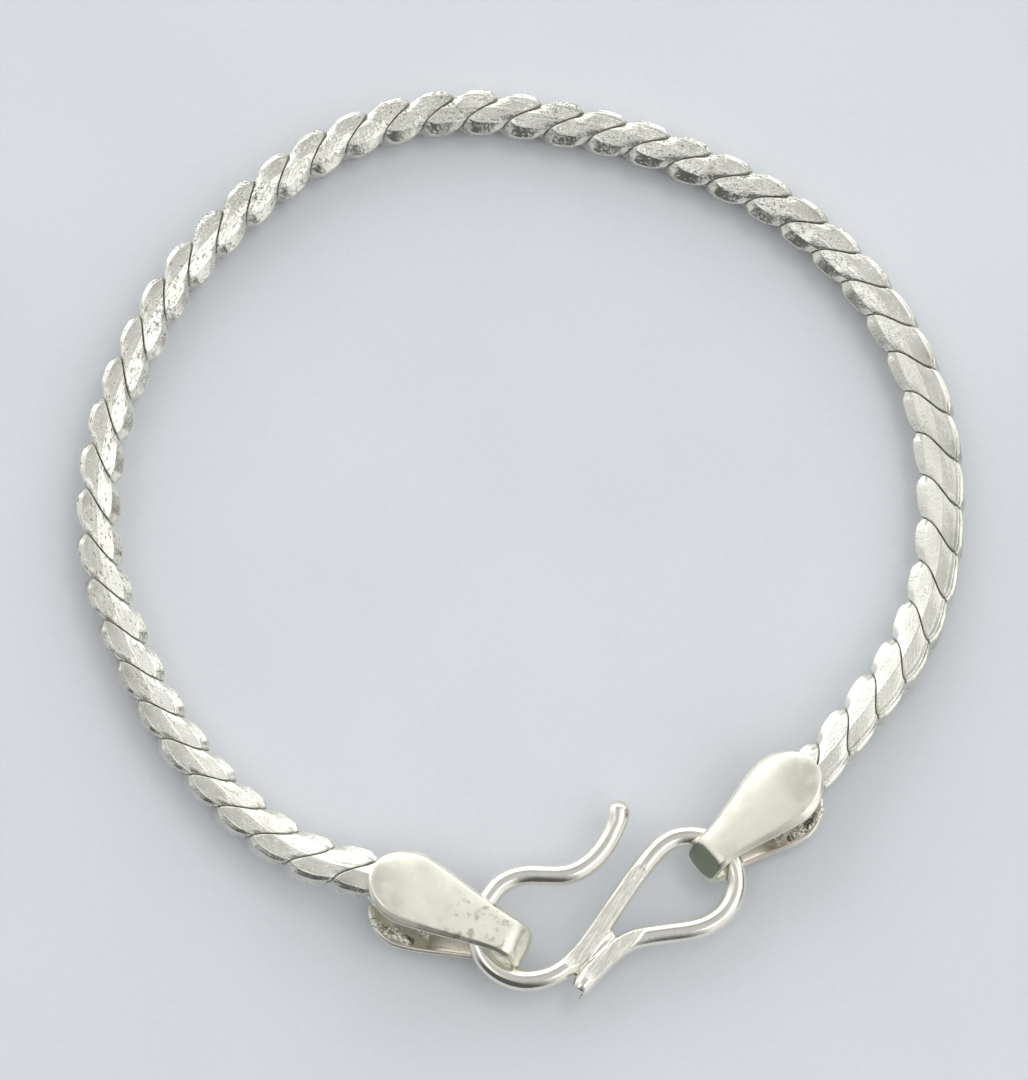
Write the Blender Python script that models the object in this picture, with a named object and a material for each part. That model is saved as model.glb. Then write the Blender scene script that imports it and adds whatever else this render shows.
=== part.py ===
"""Braided silver bracelet: two twisted strands rolled to a bar with bevelled corners and bent to a loop,
two fold-over end caps and an S-hook clasp."""
import math

import bmesh
import bpy
import numpy as np
from mathutils import Matrix

# Driving dimensions, in metres and degrees
SECTION_WIDTH = 0.0035
SECTION_DEPTH = 0.0031
LEAF_PITCH = 0.00335
LEAF_START = 0.0061
GROOVE_FLATTENING = 2.3
GROOVE_DROP = 0.14
STRAND_GAP = 0.00032
CORE_RADIUS = 0.00040
ROUTE_STEP = 0.00025
CHAIN_IN_CAP = 0.0040
CHAIN_RISE = 0.0150

CAP_WIDTH = 0.0056
CAP_BULGE = 0.0033
CAP_NECK_WIDTH = 0.0029
CAP_MOUTH_HEIGHT = 0.0045
CAP_BACK_LEAF_SETBACK = 0.0006
CAP_FOLD_HEIGHT = 0.0038
CAP_CROWN = 0.00038
CAP_SHEET = 0.00045
CAP_COLUMNS = 9
CAP_ROUND_TURNS = (20, 38, 56, 74, 90)
CAP_TAPER_ROWS = 7
CAP_FOLD_TURNS = (60, 30, 0, -30, -60)
CAP_FOOT_REACH = 0.27
LEFT_CAP_LENGTH = 0.0127
RIGHT_CAP_LENGTH = 0.0114
LEFT_CAP_ROLL = 14.0
RIGHT_CAP_ROLL = 12.0
LEFT_LEAF_SHIFT = 0.0006
RIGHT_LEAF_SHIFT = 0.0003
SOLDER_LENGTH = 0.0020
SOLDER_WIDTH = 0.0036
SOLDER_GAP = 0.0003
SOLDER_BITE = 0.0002
SOLDER_WAIST = 0.86
SOLDER_SIDES = 12
SOLDER_LEVELS = 7

HOOK_WIRE = 0.00160
HOOK_SIDES = 8
HOOK_STEP = 0.00095
HOOK_END_SHARE = 0.62
EYE_SETBACK = 0.0091
JOINT_LENGTH = 0.0034
JOINT_WIDTH = 0.0020
JOINT_HEIGHT = 0.0009
JOINT_END_SHARE = 0.35
JOINT_SIDES = 10
JOINT_LEVELS = 7

# Middle line of the chain seen from above, clockwise from the left cap's mouth to the right cap's
CHAIN_ROUTE = [
    (-0.0107, -0.0261), (-0.0156, -0.0245), (-0.0200, -0.0214), (-0.0238, -0.0174),
    (-0.0269, -0.0128), (-0.0293, -0.0077), (-0.0310, -0.0024), (-0.0313, 0.0033),
    (-0.0304, 0.0088), (-0.0284, 0.0141), (-0.0257, 0.0191), (-0.0220, 0.0234),
    (-0.0178, 0.0272), (-0.0130, 0.0302), (-0.0076, 0.0320), (-0.0020, 0.0323),
    (0.0036, 0.0314), (0.0091, 0.0301), (0.0144, 0.0280), (0.0194, 0.0254),
    (0.0238, 0.0219), (0.0275, 0.0176), (0.0302, 0.0126), (0.0317, 0.0072),
    (0.0320, 0.0015), (0.0313, -0.0040), (0.0292, -0.0092), (0.0259, -0.0138),
    (0.0223, -0.0181),
]
# Direction of each cap from its mouth to its fold, seen from above
LEFT_CAP_HEADING = -25.5
RIGHT_CAP_HEADING = 220.4

# Corners of the rolled section over one half turn, as shares of its half width and half depth: the
# other half is the same, turned round. The flat lies on top towards the loop's outside, the wide bevel
# falls towards its inside.
SECTION_CORNERS = [(1.0, 0.45), (0.0, 1.0), (-0.86, 1.0), (-1.0, 0.72)]
# How the section lies along the chain: share of its length, roll towards the inside in degrees,
# width and depth as shares of the section's, depth of the lobes as a share of the deepest
LAY = [
    (0.00, 2, 1.05, 0.98, 0.6), (0.12, 3, 1.02, 1.00, 0.6), (0.30, 4, 0.99, 1.00, 0.6),
    (0.38, 0, 0.99, 1.00, 0.9), (0.45, -5, 0.99, 1.00, 1.0), (0.60, -6, 1.00, 1.00, 1.0),
    (0.70, 0, 1.01, 1.00, 0.6), (0.78, 3, 1.05, 0.98, 0.5), (0.84, 0, 1.08, 0.97, 0.6),
    (0.885, 0, 1.08, 0.97, 0.6), (0.93, 0, 1.08, 0.97, 0.6), (1.00, 0, 1.04, 0.97, 0.6),
]
# Places along a leaf where its skin is laid, as shares of the leaf, and how far its lobe stands back
# there on the inside of the loop, as a share of the half width. The outside has it the other way round.
LEAF_PLACES = [0.10, 0.28, 0.50, 0.72, 0.90]
LOBE = [(0.00, 0.34), (0.10, 0.14), (0.28, 0.00), (0.50, 0.00), (0.72, 0.07), (0.90, 0.20), (1.00, 0.30)]
# Middle of the bevel, where a strand's skin has one more row
BEVEL_TURN = 57.0
# Length of a leaf along the chain: share of the chain's length, share of the pitch
LEAF_SHARES = [
    (0.00, 0.965), (0.20, 0.970), (0.27, 1.010), (0.36, 1.010), (0.42, 0.965), (0.56, 0.970),
    (0.62, 1.005), (0.70, 0.985), (0.78, 1.035), (0.88, 1.015), (1.00, 1.015),
]
# Middle line of the S-hook from its free tip to its rough end: along the line from the left eye to
# the right eye and out from it, both as shares of the distance between the eyes
HOOK_PATH = [
    (0.663, -0.281), (0.634, -0.231), (0.578, -0.171), (0.507, -0.124), (0.436, -0.102), (0.373, -0.104),
    (0.309, -0.125), (0.247, -0.147), (0.187, -0.156), (0.128, -0.146), (0.080, -0.118), (0.034, -0.078),
    (0.000, -0.036), (-0.022, 0.022), (-0.022, 0.095), (0.003, 0.158), (0.048, 0.208), (0.106, 0.240),
    (0.178, 0.253), (0.251, 0.244), (0.325, 0.215), (0.390, 0.175), (0.450, 0.132), (0.565, 0.045),
    (0.666, -0.026), (0.755, -0.080), (0.823, -0.100), (0.888, -0.092), (0.945, -0.063), (0.985, -0.017),
    (1.008, 0.040), (1.013, 0.100), (0.998, 0.155), (0.960, 0.207), (0.909, 0.243), (0.841, 0.260),
    (0.771, 0.257), (0.697, 0.243), (0.624, 0.229), (0.556, 0.222), (0.505, 0.228), (0.454, 0.245),
    (0.397, 0.273), (0.341, 0.303), (0.283, 0.337),
]
# Middle of the hook's soldered joint and the way it runs, in the same shares
JOINT_PLACE = (0.412, 0.205)
JOINT_WAY = (-0.80, 0.60)

SILVER = (0.88, 0.87, 0.83, 1.0)
SILVER_SATIN = (0.84, 0.83, 0.78, 1.0)
SHARP_ANGLE = 32.0
CURVE_STEPS = 24
UP = np.array([0.0, 0.0, 1.0])


def unit(vector):
    """The vector at length one."""
    return vector / np.linalg.norm(vector)


def heading(degrees):
    """A level direction at this angle from +X."""
    angle = math.radians(degrees)
    return np.array([math.cos(angle), math.sin(angle), 0.0])


def smoothstep(value):
    """Zero below 0, one above 1 and a smooth rise between."""
    value = np.clip(value, 0.0, 1.0)
    return value * value * (3.0 - 2.0 * value)


def smooth_line(points, step):
    """Catmull-Rom curve through the points, read again at even steps."""
    points = np.array(points, dtype=float)
    padded = np.vstack([2 * points[0] - points[1], points, 2 * points[-1] - points[-2]])
    dense = []
    for before, start, end, after in zip(padded, padded[1:], padded[2:], padded[3:]):
        for t in np.linspace(0.0, 1.0, CURVE_STEPS, endpoint=False):
            dense.append(0.5 * (2 * start + (end - before) * t
                                + (2 * before - 5 * start + 4 * end - after) * t ** 2
                                + (3 * start - before - 3 * end + after) * t ** 3))
    dense.append(points[-1])
    dense = np.array(dense)
    travelled = np.concatenate([[0.0], np.cumsum(np.linalg.norm(np.diff(dense, axis=0), axis=1))])
    count = max(2, round(travelled[-1] / step)) + 1
    wanted = np.linspace(0.0, travelled[-1], count)
    return np.column_stack([np.interp(wanted, travelled, column) for column in dense.T]), wanted


def silver(name, colour, roughness):
    """Principled material of polished or satin silver."""
    material = bpy.data.materials.new(name)
    material.use_nodes = True
    shader = material.node_tree.nodes["Principled BSDF"]
    shader.inputs["Base Color"].default_value = colour
    shader.inputs["Metallic"].default_value = 1.0
    shader.inputs["Roughness"].default_value = roughness
    return material


def solid(name, points, faces, material):
    """A closed mesh object with its faces turned outward and its round parts shaded smooth."""
    mesh = bpy.data.meshes.new(name)
    mesh.from_pydata([tuple(point) for point in points], [], faces)
    shell = bmesh.new()
    shell.from_mesh(mesh)
    bmesh.ops.recalc_face_normals(shell, faces=shell.faces)
    shell.to_mesh(mesh)
    shell.free()
    mesh.shade_smooth()
    mesh.set_sharp_from_angle(angle=math.radians(SHARP_ANGLE))
    mesh.materials.append(material)
    made = bpy.data.objects.new(name, mesh)
    bpy.context.scene.collection.objects.link(made)
    return made


def ring_faces(ring_count, ring_size):
    """Faces of a body lofted through rings of points, with a flat end on the first and last ring."""
    faces = []
    for ring in range(ring_count - 1):
        for side in range(ring_size):
            a = ring * ring_size + side
            b = ring * ring_size + (side + 1) % ring_size
            faces.append((a, b, b + ring_size, a + ring_size))
    faces.append(tuple(range(ring_size)))
    faces.append(tuple(range((ring_count - 1) * ring_size, ring_count * ring_size)))
    return faces


def lay_at(share):
    """Roll in degrees, half width, half depth and depth of lobes at a share of the chain's length."""
    shares, rolls, widths, depths, lobes = zip(*LAY)
    return (np.interp(share, shares, rolls), SECTION_WIDTH / 2 * np.interp(share, shares, widths),
            SECTION_DEPTH / 2 * np.interp(share, shares, depths), np.interp(share, shares, lobes))


def section_reach(angle):
    """Reach of the rolled section in this direction, as a share of its half sizes."""
    corners = SECTION_CORNERS + [(-across, -deep) for across, deep in SECTION_CORNERS]
    turned = math.radians(angle)
    reaches = []
    for start, end in zip(corners, corners[1:] + corners[:1]):
        normal = (end[1] - start[1], start[0] - end[0])
        facing = normal[0] * math.cos(turned) + normal[1] * math.sin(turned)
        if facing > 1e-9:
            reaches.append((normal[0] * start[0] + normal[1] * start[1]) / facing)
    return min(reaches)


def corner_turns():
    """Angles over one half turn at which a strand's skin has an edge or a row of its own."""
    turns = [math.degrees(math.atan2(deep, across)) for across, deep in SECTION_CORNERS]
    return sorted([0.0, BEVEL_TURN] + turns)


def groove_count(angle):
    """Leaves that a groove has passed when it has wound to this angle round the flattened twist."""
    turns, rest = divmod(angle, 180.0)
    return turns + 0.5 + math.atan(GROOVE_FLATTENING * math.tan(math.radians(rest - 90.0))) / math.pi


def resting_height(share):
    """Height of the section's centre over the surface when its lowest skin just touches."""
    roll, half_width, half_depth, _ = lay_at(share)
    lean = math.radians(roll)
    drops = []
    for across, deep in SECTION_CORNERS:
        drops.append(abs(deep * half_depth * math.cos(lean) - across * half_width * math.sin(lean)))
    return max(drops)


class Cap:
    """Place and axes of one fold-over end cap."""

    def __init__(self, mouth, degrees, length, roll, leaf_shift, outward_turn):
        self.length = length
        self.leaf_shift = leaf_shift
        lean = math.radians(roll)
        level_out = heading(degrees + outward_turn)
        self.across = math.cos(lean) * level_out + math.sin(lean) * UP
        self.up = -math.sin(lean) * level_out + math.cos(lean) * UP
        half_mouth = CAP_MOUTH_HEIGHT / 2 + CAP_CROWN
        self.mouth_height = half_mouth * math.cos(lean) + CAP_FOOT_REACH * CAP_WIDTH * math.sin(lean)
        fold_height = CAP_FOLD_HEIGHT / 2 * math.cos(lean) + CAP_NECK_WIDTH / 2 * math.sin(lean)
        drop = (fold_height - self.mouth_height) / length
        self.along = unit(heading(degrees) + drop * UP)
        self.mouth = np.array([mouth[0], mouth[1], self.mouth_height])

    def at(self, along, across, up):
        """World point of a point given along, across and up from the cap's mouth."""
        return self.mouth + along * self.along + across * self.across + up * self.up


def cap_half_width(along, length):
    """Half width of the cap's teardrop outline at a distance from its mouth."""
    if along < CAP_BULGE:
        return CAP_WIDTH / 2 * math.sqrt(1.0 - (1.0 - along / CAP_BULGE) ** 2)
    taper = (along - CAP_BULGE) / (length - CAP_FOLD_HEIGHT / 2 - CAP_BULGE)
    ease = 0.55 * min(taper, 1.0) + 0.45 * smoothstep(taper)
    return (CAP_WIDTH + (CAP_NECK_WIDTH - CAP_WIDTH) * ease) / 2


def cap_half_height(along, length):
    """Half height between the cap's two rims, from the mouth to where the fold begins."""
    taper = min(along / (length - CAP_FOLD_HEIGHT / 2), 1.0)
    return (CAP_MOUTH_HEIGHT + (CAP_FOLD_HEIGHT - CAP_MOUTH_HEIGHT) * taper) / 2


def cap_grid(cap):
    """Outer skin of the folded sheet as rows of points: over the top, round the fold and back."""
    radius = CAP_FOLD_HEIGHT / 2
    leaf_end = cap.length - radius
    round_end = [CAP_BULGE * (1.0 - math.cos(math.radians(turn))) for turn in CAP_ROUND_TURNS]
    taper = list(np.linspace(CAP_BULGE, leaf_end, CAP_TAPER_ROWS + 1)[1:])
    stops = [(along, cap_half_height(along, cap.length), 0.0) for along in round_end + taper]
    fold = [(leaf_end + radius * math.cos(math.radians(turn)), radius * math.sin(math.radians(turn)), turn)
            for turn in CAP_FOLD_TURNS]
    path = [(along, up, 90.0) for along, up, _ in stops] + fold
    path += [(along, -up, -90.0) for along, up, _ in reversed(stops)]
    rows = []
    for along, up, turn in path:
        half = cap_half_width(along, cap.length)
        crown = CAP_CROWN * half / (CAP_WIDTH / 2)
        back = smoothstep((leaf_end - along) / (leaf_end - CAP_BULGE)) if turn < 0 else 0.0
        along += CAP_BACK_LEAF_SETBACK * max(0.0, 1.0 - along / leaf_end) if turn < 0 else 0.0
        row = []
        for share in np.linspace(-1.0, 1.0, CAP_COLUMNS):
            bulge = crown * (1.0 - share ** 2)
            row.append((along + bulge * math.cos(math.radians(turn)),
                        half * share + cap.leaf_shift * back,
                        up + bulge * math.sin(math.radians(turn))))
        rows.append(row)
    return np.array(rows)


def build_cap(name, cap, material, solder_material):
    """Folded teardrop sheet with the lump of solder behind the chain's end, as one solid."""
    skin = cap_grid(cap)
    along_rows = np.gradient(skin, axis=0)
    across_rows = np.gradient(skin, axis=1)
    normals = np.cross(along_rows, across_rows)
    normals /= np.linalg.norm(normals, axis=2)[..., None]
    normals *= math.copysign(1.0, normals[0, CAP_COLUMNS // 2, 2])
    lining = skin - CAP_SHEET * normals
    row_count, row_size, _ = skin.shape
    points = []
    for outer, inner in zip(skin, lining):
        ring = list(outer) + list(inner[::-1])
        points += [cap.at(*point) for point in ring]
    sheet = solid(name, points, ring_faces(row_count, 2 * row_size), material)
    start = CHAIN_IN_CAP + SOLDER_GAP
    centre_along = start + SOLDER_LENGTH / 2
    half_height = cap_half_height(centre_along, cap.length) - CAP_SHEET + SOLDER_BITE + CAP_CROWN
    plug = []
    for level in np.linspace(-1.0, 1.0, SOLDER_LEVELS):
        waist = SOLDER_WAIST + (1.0 - SOLDER_WAIST) * level ** 2
        for turn in np.linspace(0.0, 360.0, SOLDER_SIDES, endpoint=False):
            plug.append(cap.at(centre_along + waist * SOLDER_LENGTH / 2 * math.cos(math.radians(turn)),
                               waist * SOLDER_WIDTH / 2 * math.sin(math.radians(turn)),
                               level * half_height))
    lump = solid(name + "_solder", plug, ring_faces(SOLDER_LEVELS, SOLDER_SIDES), solder_material)
    fuse(sheet, lump)
    return sheet


def fuse(body, guide):
    """Joins a guide solid to the body with a Boolean union and leaves the guide out of the model."""
    union = body.modifiers.new("fused", "BOOLEAN")
    union.operation = "UNION"
    union.solver = "EXACT"
    union.object = guide
    guide.hide_render = True
    guide.display_type = "WIRE"


class Chain:
    """The chain's middle line in space, with its frames and its count of leaves."""

    def __init__(self, left, right):
        start = left.at(CHAIN_IN_CAP, 0, 0)[:2]
        end = right.at(CHAIN_IN_CAP, 0, 0)[:2]
        plan, self.travelled = smooth_line([start] + CHAIN_ROUTE + [end], ROUTE_STEP)
        self.length = self.travelled[-1]
        share = self.travelled / self.length
        rest = np.array([resting_height(value) for value in share])
        height = rest.copy()
        for cap, from_end in ((left, self.travelled), (right, self.length - self.travelled)):
            outside = from_end - CHAIN_IN_CAP
            pull = 1.0 - smoothstep(outside / CHAIN_RISE)
            height += pull * (cap.mouth_height - np.minimum(outside, 0.0) * cap.along[2] - rest)
        self.centre = np.column_stack([plan, height])
        pitches = LEAF_PITCH * np.interp(share, *zip(*LEAF_SHARES))
        counted = np.concatenate([[0.0], np.cumsum(np.diff(self.travelled) / pitches[1:])])
        self.leaves = counted - np.interp(CHAIN_IN_CAP + LEAF_START, self.travelled, counted)

    def point(self, leaf, angle, reach, place):
        """World point of the skin: by count of leaves, angle round the section, reach and place in a leaf."""
        where = np.interp(leaf, self.leaves, self.travelled)
        behind, centre, ahead = [
            np.array([np.interp(where + offset, self.travelled, column) for column in self.centre.T])
            for offset in (-2 * ROUTE_STEP, 0.0, 2 * ROUTE_STEP)]
        tangent = unit(ahead - behind)
        inward = unit(np.cross(tangent, UP))
        upward = np.cross(inward, tangent)
        roll, half_width, half_depth, lobe = lay_at(where / self.length)
        turned = math.radians(angle)
        lean = math.radians(roll)
        inner, outer = [1.0 - lobe * np.interp(way, *zip(*LOBE)) for way in (place, 1.0 - place)]
        across = half_width * min(max(reach * math.cos(turned), -outer), inner)
        deep = reach * half_depth * math.sin(turned)
        spot = centre + (across * math.cos(lean) + deep * math.sin(lean)) * inward
        spot += (deep * math.cos(lean) - across * math.sin(lean)) * upward
        spot[2] = max(spot[2], 0.0)
        return spot


def strand_faces(ring_count, ring_size):
    """Faces of a strand. Both walls are split the same way, so that the groove stays as wide all along."""
    wall_starts = {0: 0, ring_size - 2: 1}
    faces = []
    for number, face in enumerate(ring_faces(ring_count, ring_size)):
        start = wall_starts.get(number % ring_size) if number < (ring_count - 1) * ring_size else None
        if start is None:
            faces.append(face)
        else:
            a, b, c, d = [face[(start + step) % 4] for step in range(4)]
            faces += [(a, b, c), (a, c, d)]
    return faces


def build_strand(name, chain, number, material):
    """One strand: leaves that each cross the face aslant, with its two walls and its edge by the core."""
    gap = STRAND_GAP / 2 / LEAF_PITCH
    core = CORE_RADIUS / (SECTION_DEPTH / 2)
    places = [gap] + LEAF_PLACES + [1.0 - gap]
    points = []
    for turn in range(math.floor(chain.leaves[0]) - 1, math.ceil(chain.leaves[-1]) + 1):
        for edge in corner_turns():
            angle = 180.0 * turn + edge
            start = groove_count(angle) + number
            if start < chain.leaves[0] or start + 1.0 > chain.leaves[-1]:
                continue
            reach = section_reach(angle)
            points.append(chain.point(start + gap, angle, core, 0.5))
            for place in places:
                drop = GROOVE_DROP if place in (places[0], places[-1]) else 0.0
                points.append(chain.point(start + place, angle, reach - drop, place))
            points.append(chain.point(start + 1.0 - gap, angle, core, 0.5))
    ring_size = len(places) + 2
    return solid(name, points, strand_faces(len(points) // ring_size, ring_size), material)


def build_hook(name, left, right, material, solder_material):
    """S-hook of one wire through both caps' folds, its closed end soldered to the shank."""
    left_eye = left.at(EYE_SETBACK, 0, 0)
    right_eye = right.at(EYE_SETBACK, 0, 0)
    span = np.linalg.norm(right_eye - left_eye)
    forward = unit(right_eye - left_eye)
    outward = unit(np.cross(forward, UP))
    places = [left_eye + span * (along * forward + out * outward) for along, out in HOOK_PATH]
    centres, _ = smooth_line(places, HOOK_STEP)
    tangents = np.gradient(centres, axis=0)
    normal = np.cross(outward, forward)
    points = []
    for index, (centre, tangent) in enumerate(zip(centres, tangents)):
        side = unit(np.cross(normal, tangent))
        lift = unit(np.cross(tangent, side))
        radius = HOOK_WIRE / 2
        if index in (0, len(centres) - 1):
            radius *= HOOK_END_SHARE
        for turn in np.linspace(0.0, 2 * math.pi, HOOK_SIDES, endpoint=False):
            points.append(centre + radius * (math.cos(turn) * side + math.sin(turn) * lift))
    wire = solid(name, points, ring_faces(len(centres), HOOK_SIDES), material)
    lump_centre = left_eye + span * (JOINT_PLACE[0] * forward + JOINT_PLACE[1] * outward)
    shank_way = unit(JOINT_WAY[0] * forward + JOINT_WAY[1] * outward)
    side_way = np.cross(normal, shank_way)
    lump = []
    for level in np.linspace(-1.0, 1.0, JOINT_LEVELS):
        fullness = max(math.sqrt(1.0 - level ** 2), JOINT_END_SHARE)
        for turn in np.linspace(0.0, 2 * math.pi, JOINT_SIDES, endpoint=False):
            lump.append(lump_centre + level * JOINT_LENGTH / 2 * shank_way
                        + fullness / 2 * (JOINT_WIDTH * math.cos(turn) * side_way
                                          + JOINT_HEIGHT * math.sin(turn) * normal))
    fuse(wire, solid(name + "_joint", lump, ring_faces(JOINT_LEVELS, JOINT_SIDES), solder_material))
    return wire


def stand_on_origin():
    """Moves the whole bracelet so that its box stands on the origin, centred above it."""
    bpy.context.view_layer.update()
    graph = bpy.context.evaluated_depsgraph_get()
    corners = []
    for made in bpy.data.objects:
        if made.type == "MESH" and not made.hide_render:
            mesh = made.evaluated_get(graph).data
            corners += [vertex.co[:] for vertex in mesh.vertices]
    low = np.min(corners, axis=0)
    high = np.max(corners, axis=0)
    shift = [-(low[0] + high[0]) / 2, -(low[1] + high[1]) / 2, -low[2]]
    for made in bpy.data.objects:
        if made.type == "MESH":
            made.data.transform(Matrix.Translation(shift))


def main():
    """Builds every piece of the bracelet."""
    for old in list(bpy.data.objects):
        bpy.data.objects.remove(old, do_unlink=True)
    polished = silver("rolled_silver", SILVER, 0.28)
    satin = silver("satin_silver", SILVER_SATIN, 0.42)
    bright = silver("wire_silver", SILVER, 0.18)
    left = Cap(CHAIN_ROUTE[0], LEFT_CAP_HEADING, LEFT_CAP_LENGTH, LEFT_CAP_ROLL, LEFT_LEAF_SHIFT, -90.0)
    right = Cap(CHAIN_ROUTE[-1], RIGHT_CAP_HEADING, RIGHT_CAP_LENGTH, RIGHT_CAP_ROLL, RIGHT_LEAF_SHIFT, 90.0)
    chain = Chain(left, right)
    for number in range(2):
        build_strand("strand_%d" % (number + 1), chain, number, polished)
    build_cap("end_cap_left", left, satin, satin)
    build_cap("end_cap_right", right, satin, satin)
    build_hook("s_hook", left, right, bright, bright)
    stand_on_origin()


main()
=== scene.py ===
"""Looks of the braided silver bracelet: its two strands, two folded end caps, the S-hook and the stage."""
import math

import bmesh
import bpy
import numpy as np
from bpy.props import FloatProperty, FloatVectorProperty, IntProperty, PointerProperty
from bpy.types import Operator, Panel, PropertyGroup
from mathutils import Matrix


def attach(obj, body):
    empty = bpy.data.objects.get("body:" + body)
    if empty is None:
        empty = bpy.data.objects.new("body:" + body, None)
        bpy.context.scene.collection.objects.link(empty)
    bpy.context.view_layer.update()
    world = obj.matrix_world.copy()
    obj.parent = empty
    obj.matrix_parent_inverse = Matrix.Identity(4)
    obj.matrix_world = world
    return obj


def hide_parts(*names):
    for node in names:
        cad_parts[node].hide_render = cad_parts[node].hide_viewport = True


bl_info = {
    "name": "Braided Bracelet",
    "version": (1, 0, 0),
    "blender": (4, 5, 0),
    "location": "3D View > Sidebar > Bracelet",
    "description": "Dresses a braided silver bracelet with two fold-over end caps and an S-hook",
    "category": "Object",
}

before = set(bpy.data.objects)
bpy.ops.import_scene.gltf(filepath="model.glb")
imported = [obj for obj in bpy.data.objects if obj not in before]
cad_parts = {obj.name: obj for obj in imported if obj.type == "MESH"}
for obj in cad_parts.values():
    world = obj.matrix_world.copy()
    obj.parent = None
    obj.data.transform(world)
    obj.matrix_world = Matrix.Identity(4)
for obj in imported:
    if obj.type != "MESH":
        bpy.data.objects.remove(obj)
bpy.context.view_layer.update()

UP = np.array([0.0, 0.0, 1.0])
# The bracelet's own middle, from which its routes are measured, on the floor of the frame
STAND = np.array([-0.000390, 0.000242, 0.0])
CURVE_STEPS = 24

# Middle line of the braid seen from above, clockwise from the left cap's mouth to the right cap's
BRAID_ROUTE = [
    (-0.0107, -0.0261), (-0.0156, -0.0245), (-0.0200, -0.0214), (-0.0238, -0.0174),
    (-0.0269, -0.0128), (-0.0293, -0.0077), (-0.0310, -0.0024), (-0.0313, 0.0033),
    (-0.0304, 0.0088), (-0.0284, 0.0141), (-0.0257, 0.0191), (-0.0220, 0.0234),
    (-0.0178, 0.0272), (-0.0130, 0.0302), (-0.0076, 0.0320), (-0.0020, 0.0323),
    (0.0036, 0.0314), (0.0091, 0.0301), (0.0144, 0.0280), (0.0194, 0.0254),
    (0.0238, 0.0219), (0.0275, 0.0176), (0.0302, 0.0126), (0.0317, 0.0072),
    (0.0320, 0.0015), (0.0313, -0.0040), (0.0292, -0.0092), (0.0259, -0.0138),
    (0.0223, -0.0181),
]
# Corners of the rolled section over one half turn, as shares of its half width and half depth
SECTION_CORNERS = [(1.0, 0.34), (0.62, 0.72), (0.0, 1.0), (-0.64, 1.0), (-0.86, 0.86)]
# How the section lies: share of the braid's length, roll inwards in degrees, width and depth shares,
# depth of the lobes on the inside and on the outside
BRAID_LAY = [
    (0.00, 2, 1.05, 0.98, 0.40, 0.45), (0.12, 3, 1.02, 1.00, 0.45, 0.70), (0.26, 4, 1.00, 1.00, 0.80, 1.15),
    (0.38, 0, 1.00, 1.00, 1.00, 1.05), (0.45, -5, 1.00, 1.00, 1.05, 0.95), (0.60, -6, 1.00, 1.00, 0.95, 0.85),
    (0.70, 0, 1.01, 1.00, 0.55, 0.60), (0.78, 3, 1.05, 0.98, 0.42, 0.40), (0.84, 0, 1.08, 0.97, 0.50, 0.40),
    (0.885, 0, 1.08, 0.97, 0.60, 0.40), (0.93, 0, 1.08, 0.97, 0.70, 0.60), (1.00, 0, 1.04, 0.97, 0.70, 0.60),
]
# How far a leaf's lobe stands back on the inside of the loop, along the leaf, as shares of the leaf and
# of the half width. The outside has it the other way round.
LOBE = [
    (0.00, 0.48), (0.03, 0.38), (0.07, 0.28), (0.12, 0.18), (0.18, 0.10), (0.26, 0.03), (0.36, 0.00),
    (0.50, 0.01), (0.62, 0.04), (0.74, 0.09), (0.86, 0.17), (0.94, 0.24), (1.00, 0.31),
]
# Length of a leaf: share of the braid's length, share of the pitch
LEAF_SHARES = [
    (0.00, 0.965), (0.20, 0.970), (0.27, 1.010), (0.36, 1.010), (0.42, 0.965), (0.56, 0.970),
    (0.62, 1.005), (0.70, 0.985), (0.78, 1.035), (0.88, 1.015), (1.00, 1.015),
]
# Places across a leaf where its skin is laid, close together at its two rounded edges
LEAF_PLACES = [
    0.012, 0.030, 0.055, 0.085, 0.12, 0.165, 0.22, 0.28, 0.34, 0.40, 0.46, 0.52, 0.58, 0.64, 0.70,
    0.76, 0.82, 0.87, 0.91, 0.94, 0.965, 0.985,
]
# Share of the braid's length, and how deep the leaves' tucked ends and their two ripples are there
TUCK_SHARES = [(0.00, 0.7), (0.10, 1.0), (0.64, 1.0), (0.74, 0.45), (1.00, 0.45)]
RIM_RIPPLE = [(0.00, 0.2), (0.08, 0.1), (0.48, 0.1), (0.56, 0.6), (0.66, 0.5), (0.80, 0.5), (0.84, 1.0),
              (1.00, 1.0)]
CREASE_RIPPLE = [(0.00, 0.5), (0.10, 0.9), (0.30, 0.9), (0.42, 0.5), (0.60, 0.4), (0.72, 0.7), (0.78, 0.1),
                 (1.00, 0.1)]
RIPPLE_DEPTH = 0.000026
EDGE_FALL = 0.00016
LAYER_FALL = 0.00010
# Place along a leaf where the thin layer at its tip ends
LAYER_PLACE = 0.155
# How far the section is cut back under the crease on the inside of the loop
UNDERCUT = 0.20
# Shares of the braid's length between which the dashes grow, and their strength at the first and the second
DASH_FADES = [(0.46, 0.36, 0.45, 1.0), (0.80, 0.70, 0.10, 1.0), (0.08, 0.20, 0.10, 1.0)]
BRAID_IN_CAP = 0.0040
BRAID_RISE = 0.0150
ROUTE_STEP = 0.00025
LEAF_START = 0.0061

CAP_FOOT_REACH = 0.27
RIM_TURNS = [-60.0, -30.0, 0.0, 30.0, 60.0]
SOLDER_GAP = 0.0003
SOLDER_LENGTH = 0.0020
SOLDER_WIDTH = 0.0036
SOLDER_SINK = 0.0002
BEAD_COUNT = 64
# Least value and range of the solder beads' distance from the mouth, radius and distance from the middle
BEAD_ALONG = (0.0016, 0.0034)
BEAD_SIZE = (0.00014, 0.00020)
BEAD_OUT = (0.0019, 0.0007)
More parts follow.
